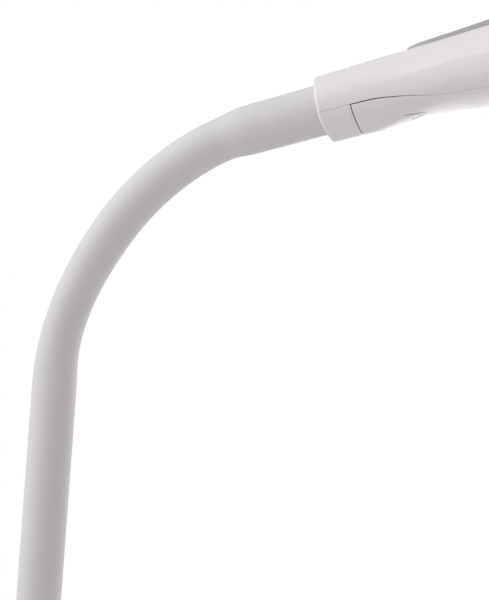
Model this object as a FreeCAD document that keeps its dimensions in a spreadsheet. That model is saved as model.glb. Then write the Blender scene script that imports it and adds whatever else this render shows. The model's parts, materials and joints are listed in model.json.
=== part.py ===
"""Arc floor lamp: a weighted base, a sectioned pole, a flexible neck in a soft sleeve and an LED head.

Frame: millimetres, +Z up, origin at the centre of the base's underside. The pole stands on +Z and
the neck arcs over towards +X. Pieces of the head are modelled about the head's own axis, which
starts at the centre of the collar's mouth: x along the head, y across it, z up.
"""
import FreeCAD, Part
import math
import os
import re
import Sketcher

Vector = FreeCAD.Vector

# ---------------------------------------------------------------- driving dimensions
SIZES = {
    # base
    "base_radius": 130, "base_height": 34, "base_side": 19, "cover_wall": 2, "dome_radius": 560,
    "shoulder": 4, "shoulder_round": 5.2,
    "pad_thickness": 2, "pad_radius": 124, "plate_thickness": 3, "plate_radius": 117,
    "weight_radius": 112, "weight_edge": 16.5, "weight_flat": 61.6, "weight_top": 24, "boss_radius": 19,
    "recess_radius": 13, "recess_depth": 5.4, "nut_corner": 9.8, "nut_height": 4.5,
    "screw_circle": 95, "screw_radius": 2, "screw_head": 4, "screw_head_height": 1.8, "screw_length": 12,
    "jack_height": 9, "jack_radius": 5.2, "jack_length": 12.4, "jack_bore": 2.75, "jack_depth": 9,
    "contact_radius": 1, "contact_length": 8, "lead_height": 8.5, "lead_slot": 4, "lead_bend": 8,
    "collar_radius": 21, "collar_height": 15, "collar_foot": 3, "collar_lip": 2.2,
    # pole
    "pole_radius": 12.5, "pole_wall": 1.5, "coupling_length": 50, "stud_radius": 6, "stud_bore": 4.2,
    "stud_foot": 13, "stud_reach": 42, "ring_height": 4, "socket_length": 45,
    # flexible neck
    "kink_height": 1200, "sleeve_length": 170, "rigid_bore": 9.6, "taper_low": 12, "stiff_end": 12,
    "link_length": 31.1, "flex_radius": 11.6, "flex_bore": 8.7, "sleeve_gap": 3,
    "turn_first": 16.4, "turn_second": 11.4, "turn_third": 8.3,
    "turn_fourth": 11.4, "turn_fifth": 11.8, "turn_sixth": 15.9,
    "coil_radius": 8.4, "coil_bore": 4.2, "ferrule_bore": 6.2, "lead_radius": 2.2, "lead_gap": 1.6,
    "stub_length": 39.8, "stub_radius": 12.8, "stub_depth": 22, "taper_high": 3, "flange_thickness": 2.6,
    # the round end of each ferrule, which turns in its bearing and is held by a ring
    "spigot_radius": 6, "spigot_length": 43, "spigot_bore": 3.4, "groove_place": 37.7, "groove_width": 1.4,
    "groove_depth": 0.8, "ring_radius": 9,
    # head
    "mouth_radius": 13.1, "mouth_depth": 29, "head_wall": 2, "throat_start": 17, "throat_end": 96,
    "seam_height": 6.3, "seam_gap": 0.35, "light_start": 104, "light_end": 262, "light_edge": 9,
    "head_length": 284, "panel_top": 17.4, "panel_start": 47, "panel_end": 272, "panel_half_width": 12.5,
    "block_radius": 12.4, "block_flat": 8.3, "block_start": 25.1, "block_end": 37.4,
    "spreader_half": 20, "spreader_low": -5, "spreader_high": -2,
    "led_half": 18, "led_low": -6.6, "led_high": -5.1, "chip_half": 1.5, "chip_low": -7.5,
    "boss_bore": 1.3, "board_half": 11, "board_low": 4, "board_thickness": 1.6, "board_margin": 22,
    "power_place": 150, "dimmer_place": 186, "button_radius": 6, "button_proud": 1.5,
    "button_flange": 7.4, "flange_low": 4.9, "flange_high": 3.5, "spring_radius": 3.6, "spring_bore": 3.1,
    # running clearances
    "running_gap": 0.05, "loose_gap": 0.1, "face_gap": 0.3,
}
LINK_TURNS = ("turn_first", "turn_second", "turn_third", "turn_fourth", "turn_fifth", "turn_sixth")

document = FreeCAD.newDocument("arc_floor_lamp")
sheet = document.addObject("Spreadsheet::Sheet", "Sizes")
sub_parts = []


def fill_sheet():
    """Put every driving dimension in the sheet, with its name beside it."""
    for row, (alias, value) in enumerate(SIZES.items(), start=1):
        sheet.set(f"A{row}", alias)
        sheet.set(f"B{row}", str(value))
        sheet.setAlias(f"B{row}", alias)
    document.recompute()


def bound(expression):
    """The expression with each alias read from the sheet."""
    def in_sheet(word):
        return f"Sizes.{word[0]}" if word[0] in SIZES else word[0]

    return re.sub(r"[a-z_]+", in_sheet, str(expression))


def value_of(expression):
    """The number that an expression in the sheet's aliases gives now."""
    return float(sheet.evalExpression(str(expression)))


def keep(piece, label, placement=None):
    """Name a finished sub-part, place it and list it for writing."""
    piece.Label = label
    if placement is not None:
        piece.Placement = placement
    sub_parts.append(piece)
    return piece


# ---------------------------------------------------------------- sketches and bodies
def plane_of(body, role):
    """One of a body's own origin planes."""
    return next(feature for feature in body.Origin.OriginFeatures if feature.Role == role)


def outline_sketch(body, role, corners, offset="0"):
    """A closed outline of straight lines whose corners are bound to the sheet.

    Each corner is a pair of expressions. A third entry, a radius, makes the line to the next
    corner an arc that bulges to the right of the direction of travel.
    """
    sketch = body.newObject("Sketcher::SketchObject", "Outline")
    sketch.AttachmentSupport = [(plane_of(body, role), "")]
    sketch.MapMode = "FlatFace"
    sketch.setExpression("AttachmentOffset.Base.z", bound(offset))
    spots = [Vector(value_of(corner[0]), value_of(corner[1]), 0) for corner in corners]
    count = len(corners)
    for index, corner in enumerate(corners):
        start, end = spots[index], spots[(index + 1) % count]
        if len(corner) == 2:
            sketch.addGeometry(Part.LineSegment(start, end), False)
        else:
            sketch.addGeometry(bulging_arc(start, end, value_of(corner[2])), False)
    turned_round = [len(corner) == 3 for corner in corners]
    for index in range(count):
        after = (index + 1) % count
        # an arc is stored counterclockwise, so it starts where the outline's arc starts
        sketch.addConstraint(Sketcher.Constraint("Coincident", index, 2, after, 1))
    for index, corner in enumerate(corners):
        for kind, expression in zip(("DistanceX", "DistanceY"), corner[:2]):
            number = value_of(expression)
            place = sketch.addConstraint(Sketcher.Constraint(kind, -1, 1, index, 1, number))
            sketch.setExpression(f"Constraints[{place}]", bound(expression))
        if turned_round[index]:
            place = sketch.addConstraint(Sketcher.Constraint("Radius", index, value_of(corner[2])))
            sketch.setExpression(f"Constraints[{place}]", bound(corner[2]))
    return sketch


def bulging_arc(start, end, radius):
    """The short counterclockwise arc from start to end."""
    chord = end - start
    middle = (start + end) * 0.5
    inward = Vector(-chord.y, chord.x, 0).normalize()
    centre = middle + inward * math.sqrt(radius ** 2 - (chord.Length / 2) ** 2)
    first = math.atan2(start.y - centre.y, start.x - centre.x)
    last = math.atan2(end.y - centre.y, end.x - centre.x)
    return Part.ArcOfCircle(Part.Circle(centre, Vector(0, 0, 1), radius), first, last)


def turned(name, corners):
    """A body turned about its z axis from an outline of (radius, height) corners."""
    body = document.addObject("PartDesign::Body", name)
    sketch = outline_sketch(body, "XZ_Plane", corners)
    revolution = body.newObject("PartDesign::Revolution", "Revolution")
    revolution.Profile = (sketch, [""])
    revolution.ReferenceAxis = (sketch, ["V_Axis"])
    revolution.Angle = 360
    return body


def padded(name, role, corners, length, offset="0", both_ways=False):
    """A body padded from an outline on one of its origin planes."""
    body = document.addObject("PartDesign::Body", name)
    sketch = outline_sketch(body, role, corners, offset)
    pad = body.newObject("PartDesign::Pad", "Pad")
    pad.Profile = (sketch, [""])
    pad.setExpression("Length", bound(length))
    pad.Midplane = both_ways
    return body


def tube_corners(outside, inside, low, high):
    """The (radius, height) outline of a plain tube."""
    return [(inside, low), (outside, low), (outside, high), (inside, high)]


def rectangle(low_x, low_y, high_x, high_y):
    """The four corners of a rectangle."""
    return [(low_x, low_y), (high_x, low_y), (high_x, high_y), (low_x, high_y)]


# ---------------------------------------------------------------- primitives and booleans
def cylinder(name, radius, length, placement):
    """A cylinder along the placement's z axis."""
    piece = document.addObject("Part::Cylinder", name)
    piece.setExpression("Radius", bound(radius))
    piece.setExpression("Height", bound(length))
    piece.Placement = placement
    return piece


def block(name, low, high):
    """A box between two corners, each given as three expressions."""
    piece = document.addObject("Part::Box", name)
    for side, first, last in zip(("Length", "Width", "Height"), low, high):
        piece.setExpression(side, bound(f"({last}) - ({first})"))
    for axis, first in zip("xyz", low):
        piece.setExpression(f"Placement.Base.{axis}", bound(first))
    return piece


def cut(name, base, *tools):
    """The base with each tool cut out of it."""
    for tool in tools:
        result = document.addObject("Part::Cut", name)
        result.Base = base
        result.Tool = tool
        base = result
    return base


def common(name, base, tool):
    """Where the base and the tool overlap."""
    result = document.addObject("Part::Common", name)
    result.Base = base
    result.Tool = tool
    return result


def fused(name, *pieces):
    """Several solids as one."""
    result = document.addObject("Part::MultiFuse", name)
    result.Shapes = list(pieces)
    return result


def group(name, *pieces):
    """Identical separate solids in one node."""
    result = document.addObject("Part::Compound", name)
    result.Links = list(pieces)
    return result


def upright(x, y, z):
    """A placement with its z axis up."""
    return FreeCAD.Placement(Vector(x, y, z), FreeCAD.Rotation())


def lengthways(x, y, z):
    """A placement whose z axis points along +X."""
    return FreeCAD.Placement(Vector(x, y, z), FreeCAD.Rotation(Vector(0, 1, 0), 90))


# ---------------------------------------------------------------- the neck's path
def neck_path():
    """Places along the neck: (x, z, heading) at each joint, heading in degrees above level."""
    length = value_of("link_length")
    x, z, heading = 0.0, value_of("kink_height"), 90.0
    places = [(x, z, heading)]
    for alias in LINK_TURNS:
        turn = value_of(alias)
        radius = length / math.radians(turn)
        after = heading - turn
        x += radius * (math.sin(math.radians(heading)) - math.sin(math.radians(after)))
        z += radius * (math.cos(math.radians(after)) - math.cos(math.radians(heading)))
        heading = after
        places.append((x, z, heading))
    return places


def mouth_place():
    """The centre of the collar's mouth and the head's tilt above level."""
    x, z, heading = neck_path()[-1]
    length = value_of("stub_length")
    tilt = math.radians(heading)
    return Vector(x + length * math.cos(tilt), 0, z + length * math.sin(tilt)), heading


def along_neck(x, z, heading):
    """A placement whose z axis follows the neck at one place."""
    return FreeCAD.Placement(Vector(x, 0, z), FreeCAD.Rotation(Vector(0, 1, 0), 90 - heading))


def head_placement():
    """The head's own frame in the lamp's frame."""
    centre, heading = mouth_place()
    return FreeCAD.Placement(centre, FreeCAD.Rotation(Vector(0, 1, 0), -heading))


# ---------------------------------------------------------------- base
def make_base_pad():
    """A flat non-slip pad that the lamp rests on."""
    pad = turned("BasePad", rectangle("0", "0", "pad_radius", "pad_thickness"))
    keep(pad, "base_pad")


def make_base_plate():
    """The steel plate under the weight, counterbored for four screws."""
    top = "pad_thickness + plate_thickness"
    plate = turned("BasePlate", rectangle("0", "pad_thickness", "plate_radius", top))
    holes = []
    for number in range(4):
        x, y = screw_spot(number)
        low = value_of("pad_thickness")
        holes.append(cylinder("PlateHole", "screw_radius + 0.2", "plate_thickness", upright(x, y, low)))
        holes.append(cylinder("PlateSeat", "screw_head + 0.2", "screw_head_height + 0.2", upright(x, y, low)))
    keep(cut("DrilledPlate", plate, *holes), "base_plate")


def screw_spot(number):
    """Where one of the four base screws stands."""
    angle = math.radians(45 + 90 * number)
    radius = value_of("screw_circle")
    return radius * math.cos(angle), radius * math.sin(angle)


def make_base_screws():
    """Four screws that hold the plate to the weight."""
    screws = []
    for number in range(4):
        x, y = screw_spot(number)
        low = value_of("pad_thickness + loose_gap")
        top = value_of("pad_thickness + screw_head_height")
        head = cylinder("ScrewHead", "screw_head", "screw_head_height", upright(x, y, low))
        shank = cylinder("ScrewShank", "screw_radius", "screw_length", upright(x, y, top))
        screws.append(fused("Screw", head, shank))
    keep(group("BaseScrews", *screws), "base_screws")


def make_base_weight():
    """The cast disc, with a boss that carries the cover, a nut recess and a slot for the lead."""
    low = "pad_thickness + plate_thickness"
    top = "base_height - cover_wall - 0.2"
    bore = "stud_radius + loose_gap"
    roof = "weight_top - recess_depth"
    corners = [("recess_radius", low), ("weight_radius", low), ("weight_radius", "weight_edge"),
               ("weight_flat", "weight_top"), ("boss_radius", "weight_top"), ("boss_radius", top),
               (bore, top), (bore, roof), ("recess_radius", roof)]
    weight = turned("BaseWeight", corners)
    slot_low = ("-weight_radius - 1", "-lead_slot", "0")
    slot_high = ("1 - recess_radius", "lead_slot", "lead_height + lead_slot")
    slot = block("LeadSlot", slot_low, slot_high)
    holes = []
    for number in range(4):
        x, y = screw_spot(number)
        place = upright(x, y, value_of(low) - 1)
        holes.append(cylinder("WeightHole", "screw_radius + running_gap", "screw_length", place))
    keep(cut("SlottedWeight", weight, slot, *holes), "base_weight")


def make_base_cover():
    """The domed cover, open below, with a hole for the stud and one for the socket."""
    low = "pad_thickness + face_gap"
    flat = "collar_radius + 2"
    inner = "base_radius - cover_wall"
    bore = "stud_radius + loose_gap"
    under = "base_height - cover_wall"
    corners = [(inner, low), ("base_radius", low), ("base_radius", "base_side - shoulder", "shoulder_round"),
               ("base_radius - shoulder", "base_side", "dome_radius"), (flat, "base_height"),
               (bore, "base_height"), (bore, under), (flat, under),
               (inner, "base_side - cover_wall - shoulder / 2")]
    body = turned("BaseCover", corners)
    outside = -value_of("base_radius + shoulder")
    place = lengthways(outside, 0, value_of("jack_height"))
    hole = cylinder("JackHole", "jack_radius + face_gap", "jack_length", place)
    keep(cut("DrilledCover", body, hole), "base_cover")


def make_pole_stud():
    """A hollow stud: thin below to take the nut, thick above to fill the foot of the pole."""
    thick = "pole_radius - pole_wall - running_gap"
    shoulder = "base_height + loose_gap"
    top = "base_height + stud_reach"
    corners = [("stud_bore", "stud_foot"), ("stud_radius", "stud_foot"), ("stud_radius", shoulder),
               (thick, shoulder), (thick, top), ("stud_bore", top)]
    keep(turned("PoleStud", corners), "pole_stud")


def make_pole_nut():
    """The hexagon nut that pulls the stud down into the weight."""
    corner = value_of("nut_corner")
    spots = []
    for number in range(6):
        angle = math.radians(60 * number)
        spots.append((f"{corner * math.cos(angle):.4f}", f"{corner * math.sin(angle):.4f}"))
    low = "weight_top - recess_depth - nut_height - loose_gap"
    body = padded("PoleNut", "XY_Plane", spots, "nut_height", offset=low)
    bore_foot = upright(0, 0, value_of(low) - 1)
    bore = cylinder("NutBore", "stud_radius + running_gap", "nut_height + 2", bore_foot)
    keep(cut("BoredNut", body, bore), "pole_nut")


def make_base_collar():
    """A flared trim ring that hides the foot of the pole."""
    low, high = "base_height + running_gap", "base_height + collar_height"
    bore = "pole_radius + loose_gap"
    corners = [(bore, low), ("collar_radius", low), ("collar_radius", "base_height + collar_foot"),
               ("pole_radius + collar_lip", high), (bore, high)]
    keep(turned("BaseCollar", corners), "base_collar")


def make_power_jack():
    """The low-voltage socket at the back of the base, with its centre contact."""
    back = -value_of("base_radius") - 0.5
    height = value_of("jack_height")
    inside = back + value_of("jack_depth - contact_length") + 1
    barrel = cylinder("JackBarrel", "jack_radius", "jack_length", lengthways(back, 0, height))
    bore = cylinder("JackBore", "jack_bore", "jack_depth", lengthways(back, 0, height))
    contact = cylinder("JackContact", "contact_radius", "contact_length", lengthways(inside, 0, height))
    keep(fused("PowerJack", cut("JackBody", barrel, bore), contact), "power_jack")


# ---------------------------------------------------------------- pole
def pole_top():
    """Where the pole's tube ends, as an expression."""
    return "(kink_height - sleeve_length - ring_height - face_gap)"


def pole_joint(share):
    """The height of a joint in the pole, a share of the way from its foot to its top."""
    return f"(base_height + 1 + ({pole_top()} - base_height - 1) * {share})"


def make_pole():
    """Three equal tubes, with a screwed coupling inside each joint between them."""
    inside = "pole_radius - pole_wall"
    for number, name in enumerate(("lower_pole", "middle_pole", "upper_pole")):
        low = pole_joint(f"{number} / 3")
        high = pole_joint(f"{number + 1} / 3") + " - loose_gap"
        corners = tube_corners("pole_radius", inside, low, high)
        keep(turned(body_name(name), corners), name)
    for number, name in ((1, "lower_coupling"), (2, "upper_coupling")):
        middle = pole_joint(f"{number} / 3")
        low = f"{middle} - coupling_length / 2"
        high = f"{middle} + coupling_length / 2"
        corners = tube_corners(f"{inside} - running_gap", "stud_radius", low, high)
        keep(turned(body_name(name), corners), name)


def body_name(label):
    """A label's words joined, each with a capital."""
    return label.title().replace("_", "")


def make_neck_socket():
    """The friction bush in the pole's top, with a ring that shows below the sleeve."""
    outside = "pole_radius - pole_wall - running_gap"
    bore = "spigot_radius + running_gap"
    top = pole_top()
    corners = [(bore, f"{top} - socket_length"), (outside, f"{top} - socket_length"), (outside, top),
               ("pole_radius", top), ("pole_radius", f"{top} + ring_height"), (bore, f"{top} + ring_height")]
    keep(turned("NeckSocket", corners), "neck_socket")


def make_stand_lead():
    """The lead from the socket's back through the weight and up the pole to the neck."""
    start = Vector(value_of("jack_length - base_radius - face_gap"), 0, value_of("lead_height"))
    bend = value_of("lead_bend")
    corner = Vector(-bend, 0, start.z)
    rise = Vector(0, 0, start.z + bend)
    diagonal = bend * math.sqrt(0.5)
    middle = Vector(-bend + diagonal, 0, start.z + bend - diagonal)
    end = Vector(0, 0, value_of(f"{pole_top()} - socket_length - 10"))
    path = run_and_bend(start, corner, middle, rise, end)
    keep(swept_lead("StandLead", path, start, Vector(1, 0, 0)), "stand_lead")


def run_and_bend(first, start, middle, end, last):
    """A wire of a straight run, an arc through three points and another straight run."""
    runs = [Part.LineSegment(first, start), Part.Arc(start, middle, end), Part.LineSegment(end, last)]
    return Part.Wire([run.toShape() for run in runs])


def swept_lead(name, path, start, heading):
    """A round lead swept along a wire of straight runs and tangent arcs."""
    ring = Part.Wire(Part.Circle(start, heading, value_of("lead_radius")).toShape())
    piece = document.addObject("Part::Feature", name)
    piece.Shape = path.makePipeShell([ring], True, False)
    wanted = math.pi * value_of("lead_radius") ** 2 * path.Length
    if abs(piece.Shape.Volume / wanted - 1) > 0.01:
        raise RuntimeError(f"{name}: the sweep's volume is wrong")
    return piece


# ---------------------------------------------------------------- neck
def snap_ring(name, label, groove_low, place=None):
    """A flat ring that sits in a spigot's groove, from the groove's lower edge up."""
    inside = "spigot_radius - groove_depth + loose_gap"
    high = f"{groove_low} + groove_width - loose_gap"
    corners = tube_corners("ring_radius", inside, f"{groove_low} + loose_gap", high)
    keep(turned(name, corners), label, place)


def make_lower_end():
    """The sleeve's straight lower stretch, the ferrule that turns in the pole, its ring and its lead."""
    foot = "(kink_height - sleeve_length)"
    end = "kink_height - sleeve_gap / 2"
    corners = [("rigid_bore", foot), ("pole_radius", foot), ("pole_radius", "kink_height - taper_low"),
               ("flex_radius", end), ("rigid_bore", end)]
    keep(turned("SleeveLower", corners), "sleeve_lower")
    bearing = f"({pole_top()} - socket_length)"
    tip = f"{bearing} - 8"
    groove_high = f"({bearing} - groove_width - 0.2)"
    groove_low = f"({groove_high} - groove_width)"
    outside = "rigid_bore - running_gap"
    narrow = "spigot_radius - groove_depth"
    floor = f"{foot} + stiff_end"
    corners = [("spigot_bore", tip), ("spigot_radius", tip), ("spigot_radius", groove_low),
               (narrow, groove_low), (narrow, groove_high), ("spigot_radius", groove_high),
               ("spigot_radius", foot), (outside, foot), (outside, end),
               ("ferrule_bore", end), ("ferrule_bore", floor), ("spigot_bore", floor)]
    keep(turned("LowerFerrule", corners), "lower_ferrule")
    snap_ring("LowerRing", "lower_ring", groove_low)
    lead = rectangle("0", tip, "lead_radius", "kink_height - lead_gap / 2")
    keep(turned("LeadLower", lead), "lead_lower")


def curved_tube(name, outside, inside, gap, number):
    """One link of a tube that follows the neck's arc, with a gap shared at each end."""
    turn = LINK_TURNS[number]
    radius = f"link_length * 180 / pi / {turn}"
    shrink = f"({gap} * {turn} / link_length)"
    rings = []
    for part, thickness in (("Outside", outside), ("Inside", inside)):
        if thickness is None:
            continue
        ring = document.addObject("Part::Torus", name + part)
        ring.setExpression("Radius1", bound(radius))
        ring.setExpression("Radius2", bound(thickness))
        ring.setExpression("Angle3", bound(f"{turn} - {shrink}"))
        rings.append(ring)
    tube = cut(name, *rings) if len(rings) == 2 else rings[0]
    x, z, heading = neck_path()[number + 1]
    bend = value_of(radius)
    centre = Vector(x + bend * math.sin(math.radians(heading)), 0, z - bend * math.cos(math.radians(heading)))
    first = heading + 90 + value_of(shrink) / 2
    turn_up = FreeCAD.Rotation(Vector(1, 0, 0), 90)
    tube.Placement = FreeCAD.Placement(centre, FreeCAD.Rotation(Vector(0, -1, 0), first).multiply(turn_up))
    return tube


def make_links():
    """Six links between the neck's seven joints, each with its sleeve, wound coil and lead."""
    for number in range(len(LINK_TURNS)):
        sleeve = curved_tube(f"Sleeve{number}", "flex_radius", "flex_bore", "sleeve_gap", number)
        keep(sleeve, f"sleeve_link_{number + 1}")
        coil = curved_tube(f"Coil{number}", "coil_radius", "coil_bore", "sleeve_gap", number)
        keep(coil, f"coil_link_{number + 1}")
        lead = curved_tube(f"Lead{number}", "lead_radius", None, "lead_gap", number)
        keep(lead, f"lead_link_{number + 1}")


def make_upper_end():
    """The sleeve's straight upper stretch, the ferrule that turns in the head, its ring and its lead.

    These are turned about the neck's axis from the last joint, where their height is zero.
    """
    start, sleeve_end = "sleeve_gap / 2", "(stub_length + stub_depth)"
    place = along_neck(*neck_path()[-1])
    corners = [("rigid_bore", start), ("flex_radius", start), ("stub_radius", "taper_high"),
               ("stub_radius", sleeve_end), ("rigid_bore", sleeve_end)]
    keep(turned("SleeveUpper", corners), "sleeve_upper", place)
    outside = "rigid_bore - running_gap"
    narrow = "spigot_radius - groove_depth"
    flange_low = f"{sleeve_end} + loose_gap"
    flange_high = f"{flange_low} + flange_thickness"
    groove_low = "(stub_length + groove_place)"
    groove_high = f"{groove_low} + groove_width"
    tip = "(stub_length + spigot_length)"
    corners = [("ferrule_bore", start), (outside, start), (outside, flange_low), ("stub_radius", flange_low),
               ("stub_radius", flange_high), ("spigot_radius", flange_high), ("spigot_radius", groove_low),
               (narrow, groove_low), (narrow, groove_high), ("spigot_radius", groove_high),
               ("spigot_radius", tip), ("spigot_bore", tip),
               ("spigot_bore", sleeve_end), ("ferrule_bore", sleeve_end)]
    keep(turned("UpperFerrule", corners), "upper_ferrule", place)
    snap_ring("UpperRing", "upper_ring", groove_low, place)
    lead = rectangle("0", "lead_gap / 2", "lead_radius", f"{tip} + 1")
    keep(turned("LeadUpper", lead), "lead_upper", place)


# ---------------------------------------------------------------- head
# stations along the head: distance from the mouth, half-width, half-height, height of the centre
HEAD_STATIONS = (
    ("0", "17.2", "16.9", "-0.3"), ("14", "17.2", "16.9", "-0.3"), ("28", "17.5", "17.1", "-0.3"),
    ("42", "18.8", "16.4", "0.3"), ("54", "20.8", "15.8", "0.8"), ("67", "23.2", "16.5", "0"),
    ("83", "26", "17.7", "-1.1"), ("110", "30.3", "17.9", "-1.6"), ("150", "34.5", "17.2", "-1.5"),
    ("225", "36.5", "15.2", "-1"), ("268", "32.5", "11.4", "-0.2"), ("head_length", "24", "6.8", "0.4"),
)


def head_form(name, growth, stations=HEAD_STATIONS):
    """A smooth solid through elliptical stations, grown all round by an expression."""
    sections = []
    for place, half_width, half_height, centre in stations:
        ellipse = document.addObject("Part::Ellipse", "Station")
        ellipse.setExpression("MajorRadius", bound(f"{half_width} + ({growth})"))
        ellipse.setExpression("MinorRadius", bound(f"{half_height} + ({growth})"))
        ellipse.Placement = FreeCAD.Placement(Vector(), FreeCAD.Rotation(Vector(1, 1, 1), 120))
        ellipse.setExpression("Placement.Base.x", bound(place))
        ellipse.setExpression("Placement.Base.z", bound(centre))
        sections.append(ellipse)
    form = document.addObject("Part::Loft", name)
    form.Sections = sections
    form.Solid = True
    form.Ruled = False
    return form


def seam_corners(drop):
    """The curved seam between housing and throat cover, from the collar to the underside."""
    low = f"-seam_height - ({drop})"
    return [("throat_start", low), ("29", f"{low} - 0.8"), ("42", f"{low} - 3.3"), ("56", f"{low} - 6"),
            ("72", f"{low} - 8.2"), ("84", f"{low} - 9.9"), ("throat_end", f"{low} - 13.2")]


def make_head_shells():
    """The housing, the collar's lower part, the throat cover and the frosted light cover."""
    outside = head_form("HeadOutside", "0")
    cavity = head_form("HeadCavity", "-head_wall", HEAD_STATIONS[2:-1])
    mouth = cylinder("Mouth", "mouth_radius", "mouth_depth + 1", lengthways(-1, 0, 0))
    shell = cut("HeadShell", outside, fused("HeadInside", cavity, mouth))
    above, below, before, beyond = "40", "-40", "-2", "head_length + 36"
    housing = [(before, above), (before, "-seam_height")] + seam_corners("0")
    housing += [("throat_end", below), ("light_start", below), ("light_start", "-light_edge"),
                ("light_end", "-light_edge"), ("light_end", below), (beyond, below), (beyond, above)]
    throat_far = "throat_end - seam_gap"
    throat = seam_corners("seam_gap")[:-1]
    throat += [(throat_far, "-seam_height - 13.6"), (throat_far, below), ("throat_start", below)]
    clamp = rectangle(before, below, "throat_start - seam_gap", "-seam_height - seam_gap")
    light = rectangle("light_start + seam_gap", below, "light_end - seam_gap", "-light_edge - seam_gap")
    outlines = {"Housing": housing, "Clamp": clamp, "Throat": throat, "Light": light}
    shells = {}
    for name, outline in outlines.items():
        side = padded(f"{name}Side", "XZ_Plane", outline, "120", both_ways=True)
        shells[name] = common(f"{name}Shell", shell, side)
    well = block("PanelWell", ("power_place - 9", "-9", "6"), ("dimmer_place + 9", "9", "30"))
    bossed = fused("HousingBossed", shells["Housing"], screw_bosses())
    place = head_placement()
    keep(cut("HeadHousing", bossed, well), "head_housing", place)
    keep(shells["Clamp"], "collar_clamp", place)
    keep(shells["Throat"], "throat_cover", place)
    keep(shells["Light"], "diffuser", place)


def clamp_spots():
    """Where the swivel block's two screws stand: (x, y)."""
    return [(31.0, 8.2), (31.0, -8.2)]


def board_spots():
    """Where the light unit's four screws stand: (x, y)."""
    return [(x, y) for x in (114.0, 235.0) for y in (-15.0, 15.0)]


def screw_bosses():
    """Bosses in the housing's top for the swivel block and the light unit, and two posts for the board."""
    clamp_low, board_low, post_low = 8.4, -1.9, 5.7
    bosses = [cylinder("ClampBoss", "2.6", "4.4", upright(x, y, clamp_low)) for x, y in clamp_spots()]
    bosses += [cylinder("BoardBoss", "3", "13.4", upright(x, y, board_low)) for x, y in board_spots()]
    bosses += [cylinder("BoardPost", "3", "8.5", upright(x, 0, post_low)) for x in (133.0, 203.0)]
    holes = [cylinder("ClampBore", "boss_bore", "2.8", upright(x, y, clamp_low)) for x, y in clamp_spots()]
    holes += [cylinder("BoardBore", "boss_bore", "8", upright(x, y, board_low)) for x, y in board_spots()]
    return cut("Bosses", fused("BossGroup", *bosses), *holes)


def make_swivel_block():
    """The bearing block that the upper ferrule turns in, flat above and below, drilled for its two screws."""
    bore = "spigot_radius + running_gap"
    body = turned("SwivelBlock", tube_corners("block_radius", bore, "block_start", "block_end"))
    body.Placement = lengthways(0, 0, 0)
    hole = "boss_bore + running_gap"
    tools = [cylinder("BlockHole", hole, "40", upright(x, y, -20)) for x, y in clamp_spots()]
    tools.append(block("TopFlat", ("20", "-20", "block_flat"), ("45", "20", "20")))
    tools.append(block("LowFlat", ("20", "-20", "-20"), ("45", "20", "-block_flat")))
    keep(cut("MilledBlock", body, *tools), "swivel_block", head_placement())


def make_screws(name, label, spots, seat, tip):
    """A group of small screws, heads below, each from its seat up to its tip."""
    head_height, overlap = 1.4, 0.4
    screws = []
    for x, y in spots:
        head = cylinder("SmallHead", "2.2", str(head_height), upright(x, y, seat - head_height))
        shank = cylinder("SmallShank", "1.2", str(tip - seat + overlap), upright(x, y, seat - overlap))
        screws.append(fused("SmallScrew", head, shank))
    keep(group(name, *screws), label, head_placement())


def make_light_unit():
    """The heat spreader, the board with its two rows of light chips, and the screws that hold them."""
    place = head_placement()
    spreader = block("Spreader", ("light_start + 4", "-spreader_half", "spreader_low"),
                     ("light_end - 6", "spreader_half", "spreader_high"))
    board = block("LedBoard", ("light_start + 6", "-led_half", "led_low"),
                  ("light_end - 8", "led_half", "led_high"))
    holes = [cylinder("UnitHole", "boss_bore", "10", upright(x, y, -9)) for x, y in board_spots()]
    keep(cut("HeatSpreader", spreader, *holes), "heat_spreader", place)
    keep(cut("DrilledBoard", board, *holes), "led_board", place)
    first, spacing, apart = 122, 11, 8
    chips = []
    for column in range(12):
        x = first + column * spacing
        for y in (-apart, apart):
            low = (f"{x} - chip_half", f"{y} - chip_half", "chip_low")
            high = (f"{x} + chip_half", f"{y} + chip_half", "led_low - running_gap")
            chips.append(block("Chip", low, high))
    keep(group("LedChips", *chips), "led_chips", place)
    make_screws("HeadScrews", "head_screws", board_spots(), -6.7, 4)
    make_screws("ClampScrews", "clamp_screws", clamp_spots(), -8.4, 10.6)


def panel_outline():
    """The top panel seen from above: a rounded nose, then a straight-sided strip."""
    wide = "panel_half_width"
    start, end = "panel_start", "panel_end"
    right = [(start, "-2"), (f"{start} + 2.5", "-4.2"), (f"{start} + 8", "-6.2"), (f"{start} + 20", "-8.8"),
             (f"{start} + 40", "-11"), (f"{start} + 70", f"-{wide}"), (end, f"-{wide}")]
    left = [(x, y[1:]) for x, y in reversed(right)]
    return right + left


def make_top_panel():
    """The raised panel on the head's top, with a hole for each button."""
    plan = padded("PanelPlan", "XY_Plane", panel_outline(), "40")
    before, beyond = "panel_start - 1", "panel_end + 1"
    above = [(before, "0"), (beyond, "0"), (beyond, "panel_top - 5"), ("225", "panel_top - 1.7"),
             ("150", "panel_top"), (before, "panel_top")]
    side = padded("PanelSide", "XZ_Plane", above, "60", both_ways=True)
    raised = common("PanelForm", side, plan)
    bed = head_form("PanelBed", "loose_gap")
    holes = [cylinder("ButtonHole", "button_radius + face_gap", "40", upright(value_of(x), 0, 0))
             for x in ("power_place", "dimmer_place")]
    keep(cut("TopPanel", raised, bed, *holes), "top_panel", head_placement())


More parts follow.
